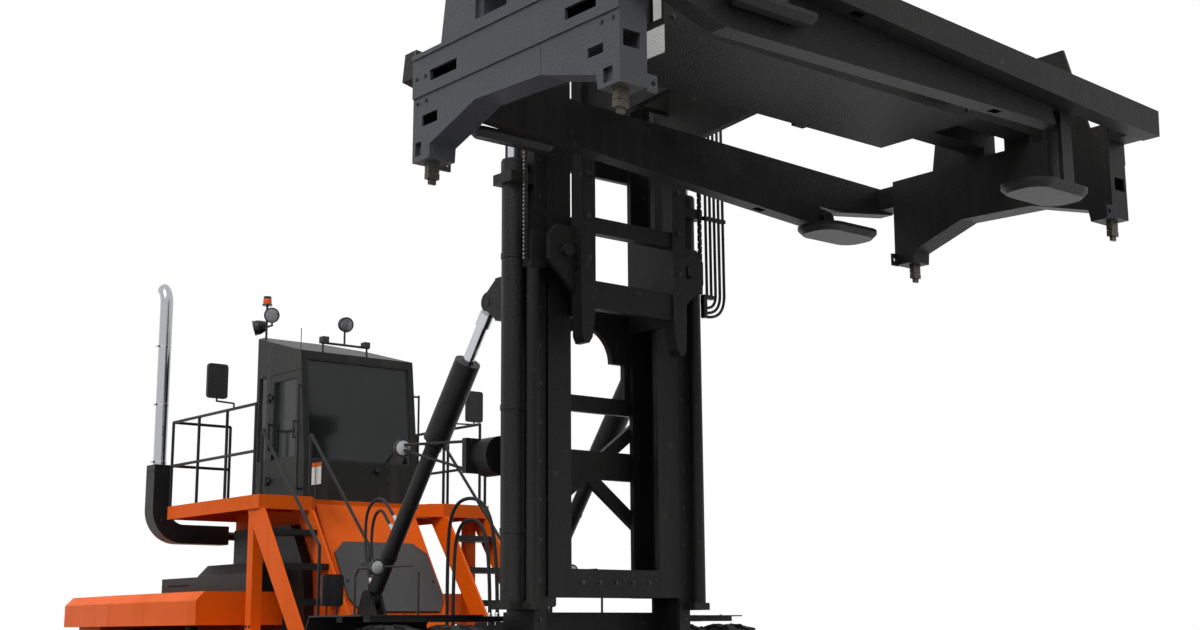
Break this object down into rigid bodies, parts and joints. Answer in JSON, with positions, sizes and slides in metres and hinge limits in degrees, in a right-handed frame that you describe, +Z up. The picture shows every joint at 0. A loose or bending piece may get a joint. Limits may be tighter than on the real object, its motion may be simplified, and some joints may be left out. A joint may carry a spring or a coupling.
{
  "type": "loaded container handler",
  "caption": "Counterbalanced container handler with a two-stage mast and a telescopic spreader with folding bottom-lift legs.",
  "frame": {"origin": "on the ground, under the middle of the machine's bounding box", "axes": "+X towards the mast and spreader (forward), +Y to the machine's left, +Z up"},
  "size_m": [12.63, 6.1, 7.8798],
  "materials": {
    "orange_paint": "semi-gloss orange paint",
    "black_paint": "satin black paint",
    "hood_paint": "satin black paint with a blue-grey sheen",
    "cab_paint": "satin dark grey paint",
    "mast_paint": "satin black paint, worn on sliding faces",
    "grey_paint": "satin cool dark grey paint",
    "rim_paint": "satin dark paint",
    "engine_iron": "rough cast iron",
    "tyre": "matt black tyre rubber",
    "glass": "dark tinted glass",
    "seat_fabric": "black woven fabric",
    "chrome": "polished chrome",
    "lamp_plastic": "glossy lamp housing",
    "mirror_plastic": "matt black housing",
    "rod_steel": "polished hard chrome",
    "chain_steel": "oiled steel",
    "hose_rubber": "matt black rubber",
    "lock_steel": "bare steel with a brassy passivated surface"
  },
  "bodies": {
    "chassis": {"chassis_frame": "black_paint", "drive_axle": "black_paint", "steer_axle": "black_paint", "tanks": "orange_paint", "engine_block": "engine_iron", "counterweight": "orange_paint", "rear_deck": "orange_paint", "hood": "hood_paint", "side_panels": "black_paint", "fenders": "black_paint", "pedestal": "orange_paint", "pedestal_cover": "black_paint", "platform": "orange_paint", "stair_stringers": "orange_paint", "stair_treads": "black_paint", "railings": "black_paint", "cab_shell": "cab_paint", "cab_glass": "glass", "cab_seat": "seat_fabric", "exhaust_duct": "black_paint", "exhaust_stack": "chrome", "lamps": "lamp_plastic", "mirrors": "mirror_plastic"},
    "drive_wheels_left": {"drive_rims_left": "rim_paint", "drive_tyres_left": "tyre"},
    "drive_wheels_right": {"drive_rims_right": "rim_paint", "drive_tyres_right": "tyre"},
    "knuckle_left": {"knuckle_left": "black_paint"},
    "knuckle_right": {"knuckle_right": "black_paint"},
    "steer_wheel_left": {"steer_rim_left": "rim_paint", "steer_tyre_left": "tyre"},
    "steer_wheel_right": {"steer_rim_right": "rim_paint", "steer_tyre_right": "tyre"},
    "cab_door": {"cab_door": "cab_paint", "cab_door_glass": "glass"},
    "mast": {"mast_outer": "mast_paint", "lift_barrels": "black_paint", "mast_lamp": "black_paint"},
    "mast_inner": {"mast_inner": "mast_paint", "lift_rods": "rod_steel", "lift_chains": "chain_steel", "mast_hoses": "hose_rubber"},
    "carriage": {"carriage": "mast_paint"},
    "tilt_barrel_left": {"tilt_barrel_left": "black_paint"},
    "tilt_barrel_right": {"tilt_barrel_right": "black_paint"},
    "tilt_rod_left": {"tilt_rod_left": "rod_steel"},
    "tilt_rod_right": {"tilt_rod_right": "rod_steel"},
    "spreader": {"spreader_frame": "mast_paint"},
    "spreader_end_left": {"spreader_end_left": "mast_paint", "twistlocks_left": "lock_steel"},
    "spreader_end_right": {"spreader_end_right": "grey_paint", "twistlocks_right": "lock_steel"},
    "leg_front_left": {"leg_front_left": "mast_paint"},
    "shoe_front_left": {"shoe_front_left": "black_paint"},
    "leg_front_right": {"leg_front_right": "mast_paint"},
    "shoe_front_right": {"shoe_front_right": "black_paint"},
    "leg_rear_left": {"leg_rear_left": "mast_paint"},
    "shoe_rear_left": {"shoe_rear_left": "black_paint"},
    "leg_rear_right": {"leg_rear_right": "mast_paint"},
    "shoe_rear_right": {"shoe_rear_right": "black_paint"}
  },
  "joints": [
    {"name": "drive_spin_left", "type": "hinge", "parent": "chassis", "child": "drive_wheels_left", "pos_m": [1.635, 1.69, 0.81], "axis": [0, 1, 0], "continuous": true},
    {"name": "drive_spin_right", "type": "hinge", "parent": "chassis", "child": "drive_wheels_right", "pos_m": [1.635, -1.69, 0.81], "axis": [0, 1, 0], "continuous": true},
    {"name": "steer_right", "type": "hinge", "parent": "chassis", "child": "knuckle_right", "pos_m": [-4.465, -1.15, 0.81], "axis": [0, 0, 1], "range_deg": [-55, 55]},
    {"name": "steer_left", "type": "hinge", "parent": "chassis", "child": "knuckle_left", "pos_m": [-4.465, 1.15, 0.81], "axis": [0, 0, 1], "range_deg": [-55, 55]},
    {"name": "steer_spin_left", "type": "hinge", "parent": "knuckle_left", "child": "steer_wheel_left", "pos_m": [-4.465, 1.5, 0.81], "axis": [0, 1, 0], "continuous": true},
    {"name": "steer_spin_right", "type": "hinge", "parent": "knuckle_right", "child": "steer_wheel_right", "pos_m": [-4.465, -1.5, 0.81], "axis": [0, 1, 0], "continuous": true},
    {"name": "cab_door_swing", "type": "hinge", "parent": "chassis", "child": "cab_door", "pos_m": [-2.965, -0.765, 3.77], "axis": [0, 0, -1], "range_deg": [0, 95]},
    {"name": "mast_tilt", "type": "hinge", "parent": "chassis", "child": "mast", "pos_m": [1.8, 0, 0.5], "axis": [0, 1, 0], "range_deg": [-5, 3]},
    {"name": "tilt_cylinder_left", "type": "hinge", "parent": "chassis", "child": "tilt_barrel_left", "pos_m": [-0.225, 1.03, 1.87], "axis": [0, 1, 0], "range_deg": [-5, 3]},
    {"name": "tilt_rod_slide_left", "type": "slide", "parent": "tilt_barrel_left", "child": "tilt_rod_left", "axis": [0.5947, 0, 0.8039], "range_m": [-0.214, 0.129]},
    {"name": "tilt_cylinder_right", "type": "hinge", "parent": "chassis", "child": "tilt_barrel_right", "pos_m": [-0.225, -1.03, 1.87], "axis": [0, 1, 0], "range_deg": [-5, 3]},
    {"name": "tilt_rod_slide_right", "type": "slide", "parent": "tilt_barrel_right", "child": "tilt_rod_right", "axis": [0.5947, 0, 0.8039], "range_m": [-0.214, 0.129]},
    {"name": "lift_inner", "type": "slide", "parent": "mast", "child": "mast_inner", "axis": [0, 0, 1], "range_m": [-1.4, 2]},
    {"name": "lift_carriage", "type": "slide", "parent": "mast_inner", "child": "carriage", "axis": [0, 0, 1], "range_m": [-1.4, 2]},
    {"name": "side_shift", "type": "slide", "parent": "carriage", "child": "spreader", "axis": [0, 1, 0], "range_m": [-0.3, 0.3]},
    {"name": "telescope_right", "type": "slide", "parent": "spreader", "child": "spreader_end_right", "axis": [0, -1, 0], "range_m": [0, 3.066]},
    {"name": "telescope_left", "type": "slide", "parent": "spreader", "child": "spreader_end_left", "axis": [0, 1, 0], "range_m": [0, 3.066]},
    {"name": "leg_fold_front_right", "type": "hinge", "parent": "spreader_end_right", "child": "leg_front_right", "pos_m": [6.045, -2.9, 6.02], "axis": [-1, 0, 0], "range_deg": [0, 88]},
    {"name": "shoe_level_front_right", "type": "hinge", "parent": "leg_front_right", "child": "shoe_front_right", "pos_m": [6.045, 1.84763, 5.87007], "axis": [-1, 0, 0], "range_deg": [-88.01, 0]},
    {"name": "leg_fold_front_left", "type": "hinge", "parent": "spreader_end_left", "child": "leg_front_left", "pos_m": [6.23, 2.9, 5.97], "axis": [1, 0, 0], "range_deg": [0, 92.52]},
    {"name": "shoe_level_front_left", "type": "hinge", "parent": "leg_front_left", "child": "shoe_front_left", "pos_m": [6.23, -1.84468, 6.19475], "axis": [1, 0, 0], "range_deg": [-92.52, 0]},
    {"name": "leg_fold_rear_left", "type": "hinge", "parent": "spreader_end_left", "child": "leg_rear_left", "pos_m": [3.16, 2.9, 5.87], "axis": [1, 0, 0], "range_deg": [0, 91.02]},
    {"name": "shoe_level_rear_left", "type": "hinge", "parent": "leg_rear_left", "child": "shoe_rear_left", "pos_m": [3.16, -1.84895, 5.96998], "axis": [1, 0, 0], "range_deg": [-91.02, 0]},
    {"name": "leg_fold_rear_right", "type": "hinge", "parent": "spreader_end_right", "child": "leg_rear_right", "pos_m": [3.345, -2.9, 5.97], "axis": [-1, 0, 0], "range_deg": [0, 83.94]},
    {"name": "shoe_level_rear_right", "type": "hinge", "parent": "leg_rear_right", "child": "shoe_rear_right", "pos_m": [3.345, 1.82493, 5.48259], "axis": [-1, 0, 0], "range_deg": [-83.94, 0]}
  ],
  "couplings": [
    {"joint": "steer_left", "follows": "steer_right", "ratio": 1},
    {"joint": "tilt_cylinder_left", "follows": "mast_tilt", "ratio": 0.982},
    {"joint": "tilt_rod_slide_left", "follows": "mast_tilt", "m_per_rad": 2.44},
    {"joint": "tilt_cylinder_right", "follows": "mast_tilt", "ratio": 0.982},
    {"joint": "tilt_rod_slide_right", "follows": "mast_tilt", "m_per_rad": 2.44},
    {"joint": "lift_carriage", "follows": "lift_inner", "ratio": 1},
    {"joint": "telescope_left", "follows": "telescope_right", "ratio": 1},
    {"joint": "shoe_level_front_right", "follows": "leg_fold_front_right", "ratio": -1},
    {"joint": "leg_fold_front_left", "follows": "leg_fold_front_right", "ratio": 1.0513},
    {"joint": "shoe_level_front_left", "follows": "leg_fold_front_right", "ratio": -1.0513},
    {"joint": "leg_fold_rear_left", "follows": "leg_fold_front_right", "ratio": 1.0342},
    {"joint": "shoe_level_rear_left", "follows": "leg_fold_front_right", "ratio": -1.0342},
    {"joint": "leg_fold_rear_right", "follows": "leg_fold_front_right", "ratio": 0.9537},
    {"joint": "shoe_level_rear_right", "follows": "leg_fold_front_right", "ratio": -0.9537}
  ]
}
